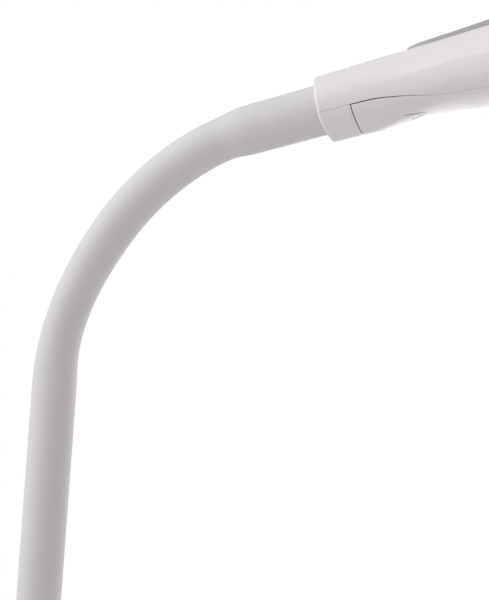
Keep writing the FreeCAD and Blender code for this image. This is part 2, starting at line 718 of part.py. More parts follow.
def make_buttons():
    """Two flanged push buttons, each on a spring that stands on the control board."""
    place = head_placement()
    board_top = "board_low + board_thickness + running_gap"
    faces = {"power": "panel_top", "dimmer": "(panel_top - 0.8)"}
    for name, face in faces.items():
        low, high, top = f"{face} - flange_low", f"{face} - flange_high", f"{face} + button_proud"
        corners = [("0", low), ("button_flange", low), ("button_flange", high), ("button_radius", high),
                   ("button_radius", top), ("0", top)]
        spot = place.multiply(upright(value_of(f"{name}_place"), 0, 0))
        keep(turned(f"{name.title()}Button", corners), f"{name}_button", spot)
        spring = tube_corners("spring_radius", "spring_bore", board_top, f"{low} - running_gap")
        keep(turned(f"{name.title()}Spring", spring), f"{name}_spring", spot)


def make_control_board():
    """The board under the buttons, and the lead that comes to it from the neck."""
    place = head_placement()
    near, far = "power_place - board_margin", "dimmer_place + board_margin"
    corners = rectangle(near, "-board_half", far, "board_half")
    board = padded("ControlBoard", "XY_Plane", corners, "board_thickness", offset="board_low")
    keep(board, "control_board", place)
    first = Vector(value_of("spigot_length + lead_gap"), 0, 0)
    corner = Vector(86, 0, 0)
    last = Vector(value_of(near) - 0.2, 0, value_of("board_low"))
    bend = 30.0
    turn = math.atan2(last.z - corner.z, last.x - corner.x)
    reach = bend * math.tan(turn / 2)
    rise = Vector(math.cos(turn), 0, math.sin(turn))
    start, end = corner - Vector(reach, 0, 0), corner + rise * reach
    centre = start + Vector(0, 0, bend)
    middle = centre + Vector(math.sin(turn / 2), 0, -math.cos(turn / 2)) * bend
    path = run_and_bend(first, start, middle, end, last)
    keep(swept_lead("HeadLead", path, first, Vector(1, 0, 0)), "head_lead", place)


# ---------------------------------------------------------------- build, check and write
def check_document():
    """Stop if any object failed or any sub-part has no valid solid."""
    for item in document.Objects:
        if "Invalid" in item.State or "Error" in item.State:
            raise RuntimeError(f"{item.Label}: {item.State}")
    for piece in sub_parts:
        shape = piece.Shape
        if shape.isNull() or not shape.isValid() or not shape.Solids:
            raise RuntimeError(f"{piece.Label}: no valid solid")


def write_parts():
    """Write each sub-part to its own file."""
    os.makedirs("parts", exist_ok=True)
    for piece in sub_parts:
        piece.Shape.exportStep(f"parts/{piece.Label}.step")


def print_frame():
    """Print the joints' places, which the record states in metres."""
    for number, (x, z, heading) in enumerate(neck_path(), start=1):
        print(f"neck joint {number}: x {x:.3f} z {z:.3f} heading {heading:.2f}")
    centre, heading = mouth_place()
    print(f"mouth: x {centre.x:.3f} z {centre.z:.3f} heading {heading:.2f}")
    print(f"pole top: {value_of(pole_top()):.3f}, sub-parts: {len(sub_parts)}")


fill_sheet()
make_base_pad()
make_base_plate()
make_base_screws()
make_base_weight()
make_base_cover()
make_pole_stud()
make_pole_nut()
make_base_collar()
make_power_jack()
make_pole()
make_neck_socket()
make_stand_lead()
make_lower_end()
make_links()
make_upper_end()
make_head_shells()
make_swivel_block()
make_light_unit()
make_top_panel()
make_buttons()
make_control_board()
document.recompute()
check_document()
write_parts()
print_frame()
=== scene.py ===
"""Arc floor lamp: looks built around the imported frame.

Everything is in metres in the frame's own axes. Pieces of the head are shaped in the head's own
millimetres (x along the head from the collar's mouth, y across, z up) and placed by its joint.
"""
import json
import math

import bmesh
import bpy
from mathutils import Matrix, Vector


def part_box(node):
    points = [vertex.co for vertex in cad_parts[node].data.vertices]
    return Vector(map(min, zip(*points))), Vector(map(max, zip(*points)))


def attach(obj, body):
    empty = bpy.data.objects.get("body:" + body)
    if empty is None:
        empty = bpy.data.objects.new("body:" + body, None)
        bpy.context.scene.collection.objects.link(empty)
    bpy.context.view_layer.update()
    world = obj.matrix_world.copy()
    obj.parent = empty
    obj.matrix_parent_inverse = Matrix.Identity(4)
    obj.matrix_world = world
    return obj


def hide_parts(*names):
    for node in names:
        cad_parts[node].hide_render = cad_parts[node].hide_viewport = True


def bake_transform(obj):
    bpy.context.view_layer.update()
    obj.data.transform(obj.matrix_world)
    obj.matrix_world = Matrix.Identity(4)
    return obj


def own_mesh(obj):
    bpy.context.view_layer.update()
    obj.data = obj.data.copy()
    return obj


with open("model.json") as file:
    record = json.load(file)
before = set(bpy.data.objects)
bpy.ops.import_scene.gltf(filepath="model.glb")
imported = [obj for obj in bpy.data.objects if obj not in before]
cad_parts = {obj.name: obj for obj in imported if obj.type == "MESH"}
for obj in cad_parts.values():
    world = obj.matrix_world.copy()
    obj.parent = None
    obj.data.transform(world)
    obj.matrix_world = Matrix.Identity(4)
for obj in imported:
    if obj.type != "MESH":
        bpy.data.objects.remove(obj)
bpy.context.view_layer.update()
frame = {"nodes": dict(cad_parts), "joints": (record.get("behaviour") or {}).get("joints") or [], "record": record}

MM = 0.001
# points closer than this are one point, in metres
WELD = 1e-6
# edges that turn by more than this stay sharp, in degrees: on raw pieces, and once their edges are rounded
SHARP_ANGLE = 40
FINE_SHARP_ANGLE = 35
JOINTS = {joint["name"]: joint for joint in frame["joints"]}
BENDS = [JOINTS[f"neck_bend_{number}"] for number in range(1, 8)]
BEND_SPOTS = [Vector(joint["pos_m"]) for joint in BENDS]
MOUTH = Vector(JOINTS["head_turn"]["pos_m"])
HEAD_AXIS = Vector(JOINTS["head_turn"]["axis"]).normalized()


# ---------------------------------------------------------------- camera
def make_camera():
    """The camera: a little below the neck's arc, close, turned 18.6 degrees and rolled 4.2 degrees."""
    from_kink = Vector((0.2354, -0.3694, 0.0498))
    turn, roll = math.radians(18.6), math.radians(4.2)
    forward = Vector((-math.sin(turn), math.cos(turn), 0))
    level_right = Vector((math.cos(turn), math.sin(turn), 0))
    up_vector = Vector((0, 0, 1))
    right = level_right * math.cos(roll) + up_vector * math.sin(roll)
    up = right.cross(forward)
    data = bpy.data.cameras.new("camera")
    data.sensor_width = 36
    data.lens = 44.4
    data.clip_start, data.clip_end = 0.01, 50
    camera = bpy.data.objects.new("camera", data)
    bpy.context.scene.collection.objects.link(camera)
    axes = Matrix((right, up, -forward)).transposed().to_4x4()
    camera.matrix_world = Matrix.Translation(BEND_SPOTS[0] + from_kink) @ axes
    bpy.context.scene.camera = camera


# ---------------------------------------------------------------- mesh helpers
def new_piece(name, points, faces, sharp_angle=SHARP_ANGLE):
    """A smooth-shaded mesh object from points in metres, sharp where it turns by more than the angle."""
    mesh = bpy.data.meshes.new(name)
    mesh.from_pydata([tuple(point) for point in points], [], faces)
    mesh.validate()
    piece = bpy.data.objects.new(name, mesh)
    bpy.context.scene.collection.objects.link(piece)
    shade(piece, sharp_angle)
    return piece


def shade(piece, sharp_angle):
    """Smooth shading with sharp edges above an angle in degrees."""
    mesh = piece.data
    mesh.shade_smooth()
    mesh.set_sharp_from_angle(angle=math.radians(sharp_angle))


def edit_mesh(piece, change):
    """Open a piece's mesh for editing, run a change on it and write it back."""
    work = bmesh.new()
    work.from_mesh(piece.data)
    change(work)
    work.to_mesh(piece.data)
    work.free()


def merge_points(work):
    """Join points that lie together."""
    bmesh.ops.remove_doubles(work, verts=work.verts, dist=WELD)


def turn_faces_outwards(work):
    """Make every face point outwards."""
    bmesh.ops.recalc_face_normals(work, faces=work.faces)


def delete_loose_points(work):
    """Delete the points that no face uses."""
    loose = [vertex for vertex in work.verts if not vertex.link_faces]
    bmesh.ops.delete(work, geom=loose, context="VERTS")


def close_up(piece):
    """Join a piece's points that lie together, and make its faces point outwards."""
    edit_mesh(piece, merge_points)
    edit_mesh(piece, turn_faces_outwards)


def apply_modifiers(piece, sharp_angle=SHARP_ANGLE):
    """Replace a piece's mesh with what its modifiers make."""
    graph = bpy.context.evaluated_depsgraph_get()
    mesh = bpy.data.meshes.new_from_object(piece.evaluated_get(graph))
    piece.modifiers.clear()
    piece.data = mesh
    shade(piece, sharp_angle)


def solidify(piece, thickness):
    """Give an open surface a wall on its inner side."""
    modifier = piece.modifiers.new("wall", "SOLIDIFY")
    modifier.thickness = thickness
    modifier.offset = -1
    modifier.use_even_offset = True


def round_edges(piece, width, angle=50):
    """Round every edge that turns by more than an angle, and apply all of a piece's modifiers."""
    modifier = piece.modifiers.new("edges", "BEVEL")
    modifier.width = width
    modifier.segments = 2
    modifier.limit_method = "ANGLE"
    modifier.angle_limit = math.radians(angle)
    modifier.harden_normals = False
    apply_modifiers(piece, FINE_SHARP_ANGLE)


def cut_away(piece, tool):
    """Cut a closed tool out of a closed piece, then remove the tool."""
    modifier = piece.modifiers.new("cut", "BOOLEAN")
    modifier.operation = "DIFFERENCE"
    modifier.solver = "EXACT"
    modifier.object = tool
    apply_modifiers(piece)
    bpy.data.objects.remove(tool)


def spread(first, last, count):
    """Evenly spaced numbers from first to last."""
    return [first + (last - first) * step / count for step in range(count + 1)]


def ring_faces(low, high, around):
    """The faces between two rings of points, given the number of each ring's first point."""
    faces = []
    for turn in range(around):
        after = (turn + 1) % around
        faces.append((low + turn, low + after, high + after, high + turn))
    return faces


def rounded_outline(corners, steps=6):
    """An outline through (radius, height, fillet) corners, each fillet an arc."""
    spots = []
    last = len(corners) - 1
    # a fillet takes at most this share of the sides next to it
    side_share = 0.49
    for index, (radius, height, fillet) in enumerate(corners):
        here = Vector((radius, height))
        if fillet == 0 or index in (0, last):
            spots.append(here)
            continue
        before = Vector(corners[index - 1][:2]) - here
        after = Vector(corners[index + 1][:2]) - here
        half = before.angle(after) / 2
        reach = min(fillet / math.tan(half), before.length * side_share, after.length * side_share)
        bend = reach * math.tan(half)
        start = here + before.normalized() * reach
        end = here + after.normalized() * reach
        centre = here + (before.normalized() + after.normalized()).normalized() * math.hypot(reach, bend)
        first = start - centre
        turn = first.angle_signed(end - centre)
        for step in range(steps + 1):
            spots.append(centre + Matrix.Rotation(-turn * step / steps, 2) @ first)
    return spots


def lathe(name, corners, place=None, segments=128):
    """A closed turned piece from an outline of (radius, height, fillet) corners, in millimetres."""
    outline = rounded_outline(corners)
    points, faces = [], []
    for radius, height in outline:
        for step in range(segments):
            angle = 2 * math.pi * step / segments
            points.append(Vector((radius * math.cos(angle), radius * math.sin(angle), height)) * MM)
    for row in range(len(outline) - 1):
        faces += ring_faces(row * segments, (row + 1) * segments, segments)
    piece = new_piece(name, points, faces)
    close_up(piece)
    shade(piece, SHARP_ANGLE)
    if place is not None:
        piece.data.transform(place)
    return piece


# ---------------------------------------------------------------- materials
def material(name, colour, roughness, build=None, **settings):
    """A principled material whose colour and roughness vary with noise, plus what build adds."""
    made = bpy.data.materials.new(name)
    made.use_nodes = True
    nodes, links = made.node_tree.nodes, made.node_tree.links
    shader = nodes["Principled BSDF"]
    for socket, value in settings.items():
        shader.inputs[socket.replace("_", " ")].default_value = value
    place = nodes.new("ShaderNodeTexCoord")
    vary_colour(nodes, links, place, shader, colour)
    vary_roughness(nodes, links, place, shader, roughness)
    if build is not None:
        build(nodes, links, place, shader)
    return made


def noise(nodes, links, place, scale, detail=3.0):
    """A noise texture in the piece's own metres."""
    texture = nodes.new("ShaderNodeTexNoise")
    texture.inputs["Scale"].default_value = scale
    texture.inputs["Detail"].default_value = detail
    links.new(place.outputs["Object"], texture.inputs["Vector"])
    return texture


def vary_colour(nodes, links, place, shader, colour):
    """Broad, faint colour drift between two close tones."""
    broad_scale = 38.0
    darker_tone = 0.975
    texture = noise(nodes, links, place, broad_scale)
    ramp = nodes.new("ShaderNodeValToRGB")
    dark_end, light_end = ramp.color_ramp.elements
    dark_end.position = 0.3
    light_end.position = 0.7
    dark_end.color = (*[part * darker_tone for part in colour], 1)
    light_end.color = (*colour, 1)
    links.new(texture.outputs["Fac"], ramp.inputs["Fac"])
    links.new(ramp.outputs["Color"], shader.inputs["Base Color"])


def vary_roughness(nodes, links, place, shader, roughness):
    """Roughness that drifts a little either side of its value."""
    patch_scale = 120.0
    drift = 0.05
    texture = noise(nodes, links, place, patch_scale)
    span = nodes.new("ShaderNodeMapRange")
    span.inputs["To Min"].default_value = roughness - drift
    span.inputs["To Max"].default_value = roughness + drift
    links.new(texture.outputs["Fac"], span.inputs["Value"])
    links.new(span.outputs["Result"], shader.inputs["Roughness"])


def fine_grain(scale, depth):
    """A builder that adds a fine moulded grain, by scale per metre and depth in metres."""
    def build(nodes, links, place, shader):
        texture = noise(nodes, links, place, scale, detail=2.0)
        bump = nodes.new("ShaderNodeBump")
        bump.inputs["Strength"].default_value = 1.0
        bump.inputs["Distance"].default_value = depth
        links.new(texture.outputs["Fac"], bump.inputs["Height"])
        links.new(bump.outputs["Normal"], shader.inputs["Normal"])
    return build


def make_materials():
    """Every finish on the lamp, by the record's slot."""
    return {
        "sleeve": material("soft_sleeve", (0.715, 0.705, 0.705), 0.62, fine_grain(1500, 0.00003),
                           Specular_IOR_Level=0.35, Sheen_Weight=0.45, Sheen_Roughness=0.3),
        "head_plastic": material("satin_plastic", (0.845, 0.825, 0.825), 0.40, fine_grain(2600, 0.00002)),
        "panel_grey": material("grey_panel", (0.43, 0.43, 0.43), 0.45, fine_grain(2200, 0.00003)),
        "button_plastic": material("button_plastic", (0.74, 0.73, 0.72), 0.35, fine_grain(2600, 0.00001)),
        "cover_plastic": material("cover_plastic", (0.78, 0.765, 0.76), 0.38, fine_grain(1500, 0.00002)),
        "stand_paint": material("powder_coat", (0.78, 0.765, 0.755), 0.38, fine_grain(700, 0.00003)),
        "ring_plastic": material("ring_plastic", (0.62, 0.61, 0.60), 0.42, fine_grain(2200, 0.00002)),
        "frosted_cover": material("frosted_cover", (0.87, 0.855, 0.845), 0.5, fine_grain(3000, 0.00002),
                                  Subsurface_Weight=0.3, Subsurface_Scale=0.004),
        "pad_rubber": material("pad_rubber", (0.035, 0.035, 0.035), 0.8, fine_grain(900, 0.0001)),
        "plain_steel": material("plated_steel", (0.42, 0.42, 0.43), 0.4, fine_grain(1200, 0.00001),
                                Metallic=1.0),
        "bright_steel": material("machined_steel", (0.55, 0.55, 0.56), 0.3, fine_grain(1800, 0.00001),
                                 Metallic=1.0),
        "coil_steel": material("coil_steel", (0.45, 0.45, 0.46), 0.35, fine_grain(1800, 0.00001),
                               Metallic=1.0),
        "cast_weight": material("cast_iron", (0.08, 0.08, 0.085), 0.75, fine_grain(500, 0.0002)),
        "black_plastic": material("black_plastic", (0.02, 0.02, 0.02), 0.4, fine_grain(2600, 0.00002)),
        "inner_plastic": material("inner_plastic", (0.12, 0.12, 0.125), 0.5, fine_grain(2600, 0.00002)),
        "lead_jacket": material("lead_jacket", (0.6, 0.6, 0.59), 0.55, fine_grain(1500, 0.00002)),
        "spreader_aluminium": material("rolled_aluminium", (0.72, 0.72, 0.73), 0.35,
                                       fine_grain(900, 0.00001), Metallic=1.0),
        "board_white": material("white_board", (0.78, 0.78, 0.76), 0.3, fine_grain(1200, 0.00001)),
        "board_green": material("green_board", (0.02, 0.12, 0.04), 0.3, fine_grain(1200, 0.00001)),
        "chip_yellow": material("phosphor", (0.85, 0.68, 0.16), 0.5, fine_grain(2000, 0.00001)),
    }


def finish_piece(piece, slot, body=None, replaces=()):
    """Give a piece its finish and its body, and hide the CAD nodes that it stands for."""
    piece.data.materials.clear()
    piece.data.materials.append(FINISHES[slot])
    if body is not None:
        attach(piece, body)
    if replaces:
        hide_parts(*replaces)


def finish_cad_nodes():
    """Give every CAD node the finish that its record slot names."""
    slots = {part["node"]: part["material_slot"] for part in frame["record"]["subparts"]}
    for name, node in frame["nodes"].items():
        node.data.materials.clear()
        node.data.materials.append(FINISHES[slots[name]])
        for polygon in node.data.polygons:
            polygon.material_index = 0


# ---------------------------------------------------------------- curves
def ease(value):
    """A smooth step from 0 to 1."""
    value = min(1.0, max(0.0, value))
    return value * value * (3 - 2 * value)


def smooth_through(stations, where, column):
    """A cubic through a column of stations, at a distance."""
    last = len(stations) - 1
    if where <= stations[0][0]:
        return stations[0][column]
    if where >= stations[last][0]:
        return stations[last][column]
    index = max(number for number in range(last) if stations[number][0] <= where)
    first, second = stations[index], stations[index + 1]
    span = second[0] - first[0]

    def slope(number):
        before, after = stations[max(0, number - 1)], stations[min(last, number + 1)]
        return (after[column] - before[column]) / (after[0] - before[0])

    share = (where - first[0]) / span
    rest = share - 1
    return (first[column] * (1 + 2 * share) * rest ** 2 + second[column] * share ** 2 * (3 - 2 * share)
            + span * share * rest * (rest * slope(index) + share * slope(index + 1)))


def bisect(low, high, is_short):
    """The place between low and high at which is_short stops being true."""
    for step in range(24):
        middle = (low + high) / 2
        if is_short(middle):
            low = middle
        else:
            high = middle
    return (low + high) / 2


# ---------------------------------------------------------------- neck
# the sleeve's (distance, radius) in millimetres, from the neck's first joint and then from its last
SLEEVE_START = ((-8, 12.5), (2, 12.2), (14, 11.75), (26, 11.5), (48, 11.5),
                (80, 11.8), (125, 11.8), (165, 11.6))
SLEEVE_END = ((-13, 11.6), (-2, 12.75), (4, 12.8))
SLEEVE_WALL = 2.4 * MM


def heading_of(first, second):
    """The angle of a line above level, in radians."""
    return math.atan2(second.z - first.z, second.x - first.x)


def neck_arcs():
    """One tangent arc for each link: (start, heading at its start, heading at its end, length)."""
    arcs = []
    heading = math.pi / 2
    for first, second in zip(BEND_SPOTS, BEND_SPOTS[1:]):
        after = 2 * heading_of(first, second) - heading
        half = (heading - after) / 2
        length = (second - first).length * half / math.sin(half)
        arcs.append((first, heading, after, length))
        heading = after
    return arcs


def neck_frame(distance):
    """Where the neck is at a distance past its first joint: (centre, heading)."""
    if distance <= 0:
        return BEND_SPOTS[0] + Vector((0, 0, distance)), math.pi / 2
    for start, heading, after, length in NECK_ARCS:
        if distance <= length:
            here = heading + (after - heading) * distance / length
            radius = length / (heading - after)
            across = radius * (math.sin(heading) - math.sin(here))
            rise = radius * (math.cos(here) - math.cos(heading))
            return start + Vector((across, 0, rise)), here
        distance -= length
    end = NECK_ARCS[-1][2]
    return BEND_SPOTS[-1] + Vector((math.cos(end), 0, math.sin(end))) * distance, end


def sleeve_radius(distance):
    """The sleeve's radius: thick where it is stiff, thinner where it bends, thinnest past the first bend."""
    last_joint = NECK_LENGTH / MM
    stations = SLEEVE_START + tuple((last_joint + past, radius) for past, radius in SLEEVE_END)
    return smooth_through(stations, distance / MM, 1) * MM


def sleeve_piece(name, start, end, spacing=1.5 * MM):
    """A stretch of the sleeve as a closed tube between two distances along the neck."""
    around = 96
    sharp_angle = 60
    side = Vector((0, 1, 0))
    count = max(2, round((end - start) / spacing))
    points = []
    for inward in (0, SLEEVE_WALL):
        for distance in spread(start, end, count):
            centre, heading = neck_frame(distance)
            outward = Vector((-math.sin(heading), 0, math.cos(heading)))
            radius = sleeve_radius(distance) - inward
            for turn in range(around):
                angle = 2 * math.pi * turn / around
                direction = outward * math.cos(angle) + side * math.sin(angle)
                points.append(centre + direction * radius)
    last_ring = count * around
    inner = last_ring + around
    faces = ring_faces(0, inner, around) + ring_faces(last_ring, inner + last_ring, around)
    for row in range(count):
        low, high = row * around, (row + 1) * around
        faces += ring_faces(low, high, around)
        faces += ring_faces(inner + low, inner + high, around)
    piece = new_piece(name, points, faces, sharp_angle)
    edit_mesh(piece, turn_faces_outwards)
    shade(piece, sharp_angle)
    return piece


def make_sleeve():
    """One continuous sleeve, cut between joints so that each piece spans one of them."""
    marks = [0.0]
    for arc in NECK_ARCS:
        marks.append(marks[-1] + arc[3])
    reach = 15 * MM
    into_head = 20 * MM
    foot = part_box("sleeve_lower")[0].z - BEND_SPOTS[0].z
    stub_end = NECK_LENGTH + (MOUTH - BEND_SPOTS[-1]).length + into_head
    between = [(first + second) / 2 for first, second in zip(marks, marks[1:])]
    cuts = [-reach] + between + [NECK_LENGTH + reach]
    lower = sleeve_piece("sleeve_straight", foot, cuts[0], spacing=6 * MM)
    finish_piece(lower, "sleeve", "neck_foot", ["sleeve_lower"])
    upper = sleeve_piece("sleeve_stub", cuts[-1], stub_end)
    finish_piece(upper, "sleeve", "neck_top", ["sleeve_upper"])
    for number, (start, end) in enumerate(zip(cuts, cuts[1:]), start=1):
        piece = sleeve_piece(f"sleeve_bend_{number}", start, end)
        finish_piece(piece, "sleeve")
        if number < len(BENDS):
            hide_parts(f"sleeve_link_{number}")
        margin = (end - start) * 0.1
        first, second = neck_frame(start + margin)[0], neck_frame(end - margin)[0]
        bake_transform(piece)


# ---------------------------------------------------------------- head sections, in millimetres
# (distance from the mouth, half-width, top, widest height, underside)
HEAD_STATIONS = (
    (0, 17.2, 16.6, -0.3, -17.2), (14, 17.2, 16.6, -0.3, -17.2), (28, 17.5, 16.8, -0.3, -17.4),
    (42, 18.8, 16.7, -0.2, -15.8), (54, 20.8, 16.6, -0.4, -14.8), (67, 23.2, 16.5, -1.1, -15.6),
    (83, 26, 16.6, -3.0, -18.1), (110, 30.3, 16.3, -4.6, -18.6), (150, 34.5, 15.7, -4.6, -17.2),
    (225, 36.5, 14.2, -3.4, -15.4), (268, 32.5, 11.2, -1.2, -11.2), (284, 24, 7.2, 0.2, -6.4),
)
HEAD_LENGTH = HEAD_STATIONS[-1][0]
HEAD_WALL = 1.6
# evenly spaced rows run between these distances, past the collar's rounded lip and up to the rounded tip
ROWS_START, TIP_START = 2.2, 274
# the creased section grows out of the round collar from this distance and over this length
FLARE_START, FLARE_LENGTH = 24, 40
UPPER_CREASE, LOWER_CREASE = math.radians(27), math.radians(1)
ROUND_FULLNESS, LOWER_EXTRA_FULLNESS = 0.5523, 0.27
# how far the rows next to the crease lie from it: below in millimetres, above as a share of the quarter
CREASE_SOFT, ABOVE_CREASE = 0.8, 0.024
# the seam under the head, (distance, height): level at the collar, then down to the underside
SEAM = ((17, -6.0), (29, -6.6), (42, -9.0), (56, -12.4), (72, -14.7), (84, -16.4), (96, -19.0))
SEAM_START, SEAM_END = SEAM[0][0], SEAM[-1][0]
SEAM_SPACING = 1.0
LIGHT_START, LIGHT_END, LIGHT_EDGE = 104, 262, -9
CLAMP_END = 16.9
LATCH_WIDTH = 1.8


def quadrant(half_width, middle, end, crease, fullness, share):
    """A point (y, z) on a quarter of a section, from the widest line (0) to the centre line (1).

    The crease is how far the curve leans inwards where it leaves the widest line, in radians, and
    the fullness how boxy it is: ROUND_FULLNESS with no crease is an ellipse.
    """
    height = end - middle
    lean = abs(height) * fullness * math.tan(crease)
    corners = ((half_width, middle), (half_width - lean, middle + height * fullness),
               (half_width * fullness, end), (0, end))
    weights = ((1 - share) ** 3, 3 * share * (1 - share) ** 2, 3 * share ** 2 * (1 - share), share ** 3)
    across = sum(weight * corner[0] for weight, corner in zip(weights, corners))
    up = sum(weight * corner[1] for weight, corner in zip(weights, corners))
    return across, up


def section(distance, shrink=0.0):
    """A section's half-width, top, widest height and underside, never shrunk to nothing."""
    least_width, least_height = 0.05, 0.02
    sizes = [smooth_through(HEAD_STATIONS, distance, column) for column in (1, 2, 3, 4)]
    half_width, top, middle, bottom = sizes
    half_width = max(least_width, half_width - shrink)
    top = max(middle + least_height, top - shrink)
    bottom = min(middle - least_height, bottom + shrink)
    return half_width, top, middle, bottom


def head_point(distance, around, shrink=0.0):
    """A point on the head. around runs from -1, the underside, through 0, the widest line, to 1, the top."""
    half_width, top, middle, bottom = section(distance, shrink)
    growing = ease((distance - FLARE_START) / FLARE_LENGTH)
    if around >= 0:
        return quadrant(half_width, middle, top, UPPER_CREASE * growing, ROUND_FULLNESS, around)
    fullness = ROUND_FULLNESS + LOWER_EXTRA_FULLNESS * growing
    return quadrant(half_width, middle, bottom, LOWER_CREASE * growing, fullness, -around)


def share_at(distance, height):
    """How far round the lower quarter a height is met, from the widest line (0) to the underside (1)."""
    return bisect(0.0, 1.0, lambda share: head_point(distance, -share)[1] > height)


def share_beyond(distance, share, gap):
    """How far round the lower quarter a place is met that lies a gap beyond another."""
    start = Vector(head_point(distance, -share))
    return bisect(share, 1.0, lambda further: (Vector(head_point(distance, -further)) - start).length < gap)


def mouth_lean(distance, up):
    """How far the collar's mouth curves back at its top and, more, at its underside."""
    level_low, level_high = -6, 8
    under_curve, top_curve = 0.0175, 0.006
    fade_length = 34
    if up < level_low:
        back = under_curve * (up - level_low) ** 2
    else:
        back = top_curve * max(0.0, up - level_high) ** 2
    return back * (1 - ease(distance / fade_length))


def head_matrix():
    """From the head's own millimetres to the frame's metres."""
    side = Vector((0, 1, 0))
    up = HEAD_AXIS.cross(side)
    axes = Matrix((HEAD_AXIS, side, up)).transposed().to_4x4()
    return Matrix.Translation(MOUTH) @ axes @ Matrix.Scale(MM, 4)


def lip_rows():
    """Rows round the mouth's rounded lip, from inside the bore to the outside: (distance, shrink)."""
    bore_shrink, lip_depth = 3.7, 1.5
    rows = [(13.0, bore_shrink), (4.0, bore_shrink)]
    for angle in spread(0, math.pi, 8):
        rows.append((lip_depth - lip_depth * math.sin(angle), bore_shrink / 2 * (1 + math.cos(angle))))
    return rows


def level_rows(start, end, spacing=2.0):
    """Evenly spaced rows with no shrink."""
    count = max(1, math.ceil((end - start) / spacing))
    return [(distance, 0.0) for distance in spread(start, end, count)]


def tip_rows():
    """Rows that round the head's far end off to a short level edge."""
    shrink = 6.8
    rows = []
    for angle in spread(0, math.pi / 2, 8)[1:]:
        distance = TIP_START + (HEAD_LENGTH - TIP_START) * math.sin(angle)
        rows.append((distance, shrink * (1 - math.cos(angle))))
    return rows


def border_height(distance):
    """The height of the line between the head's upper part and what is below it."""
    if distance <= SEAM_START:
        return SEAM[0][1]
    if distance <= SEAM_END:
        return smooth_through(SEAM, distance, 1)
    above_underside = 0.6
    towards_light = ease((distance - SEAM_END) / (LIGHT_START - SEAM_END))
    level = max(LIGHT_EDGE, section(distance)[3] + above_underside)
    return SEAM[-1][1] + (level - SEAM[-1][1]) * towards_light


def grid_piece(name, rows, arounds, keep_face):
    """A surface over rows of the head, mirrored across it. arounds gives each row's places round one side.

    keep_face says whether a face is made, from its distance and its number from the underside up.
    """
    place = head_matrix()
    points, faces = [], []
    half = len(arounds(rows[0][0]))
    width = 2 * half
    for distance, shrink in rows:
        near = [head_point(distance, around, shrink) for around in arounds(distance)]
        line = [(-across, up) for across, up in near] + [(across, up) for across, up in reversed(near)]
        points += [place @ Vector((distance + mouth_lean(distance, up), across, up)) for across, up in line]
    for row in range(len(rows) - 1):
        middle = (rows[row][0] + rows[row + 1][0]) / 2
        for column in range(width - 1):
            from_underside = min(column, width - 2 - column)
            if column != half - 1 and keep_face(middle, from_underside):
                low, high = row * width + column, (row + 1) * width + column
                faces.append((low, high, high + 1, low + 1))
    piece = new_piece(name, points, faces)
    close_up(piece)
    edit_mesh(piece, delete_loose_points)
    return piece


def face_outwards(piece):
    """Turn an open surface round the head so that its faces point away from the head's own axis."""
    total = 0.0
    for polygon in piece.data.polygons:
        nearest = MOUTH + HEAD_AXIS * (polygon.center - MOUTH).dot(HEAD_AXIS)
        total += polygon.normal.dot((polygon.center - nearest).normalized()) * polygon.area
    if total < 0:
        piece.data.flip_normals()


def shell_piece(name, rows, arounds, keep_face=lambda distance, number: True):
    """A surface over rows of the head with a wall behind it, which is still a modifier."""
    piece = grid_piece(name, rows, arounds, keep_face)
    face_outwards(piece)
    solidify(piece, HEAD_WALL * MM)
    return piece


# ---------------------------------------------------------------- head pieces
def plan_tool(name, outline, low, high):
    """A closed upright prism to cut with, over (x, y) corners in the head's own millimetres."""
    place = head_matrix()
    points = [place @ Vector((x, y, height)) for height in (low, high) for x, y in outline]
    count = len(outline)
    faces = [tuple(reversed(range(count))), tuple(range(count, 2 * count))]
    faces += ring_faces(0, count, count)
    tool = new_piece(name, points, faces)
    close_up(tool)
    return tool


def make_housing():
    """The upper shell: round collar, flaring body, closed underside only where no cover is let in."""
    below, above_low, above_high = 10, 14, 22
    well_start, well_end, well_half_width = 141, 195, 9

    def arounds(distance):
        border = -share_at(distance, border_height(distance))
        under = spread(-1.0, border, below)
        side = spread(border, -share_beyond(distance, 0.0, CREASE_SOFT), above_low)[1:] + [0.0]
        top = [ABOVE_CREASE] + spread(0.0, 1.0, above_high)[1:]
        return under + side + top

    def keep_face(distance, number):
        return number >= below or SEAM_END < distance < LIGHT_START or distance > LIGHT_END

    rows = lip_rows()
    rows += level_rows(ROWS_START, SEAM_START)
    rows += level_rows(SEAM_START, SEAM_END, SEAM_SPACING)[1:]
    rows += level_rows(SEAM_END, LIGHT_START, 0.3)[1:]
    rows += level_rows(LIGHT_START, LIGHT_END)[1:]
    rows += level_rows(LIGHT_END, TIP_START)[1:]
    rows += tip_rows()
    housing = shell_piece("housing_shell", rows, arounds, keep_face)
    apply_modifiers(housing)
    outline = ((well_start, -well_half_width), (well_end, -well_half_width),
               (well_end, well_half_width), (well_start, well_half_width))
    cut_away(housing, plan_tool("well", outline, 5, 30))
    round_edges(housing, 0.22 * MM)
    finish_piece(housing, "head_plastic", "head", ["head_housing"])


def make_clamp():
    """The collar's lower part, closed against the upper one along a fine level line."""
    end_gap, line_gap = 0.35, 0.1

    def arounds(distance):
        return spread(-1.0, -share_at(distance, SEAM[0][1] - line_gap), 18)

    clamp = shell_piece("collar_lower", lip_rows() + level_rows(ROWS_START, CLAMP_END - end_gap), arounds)
    round_edges(clamp, 0.15 * MM)
    finish_piece(clamp, "head_plastic", "head", ["collar_clamp"])


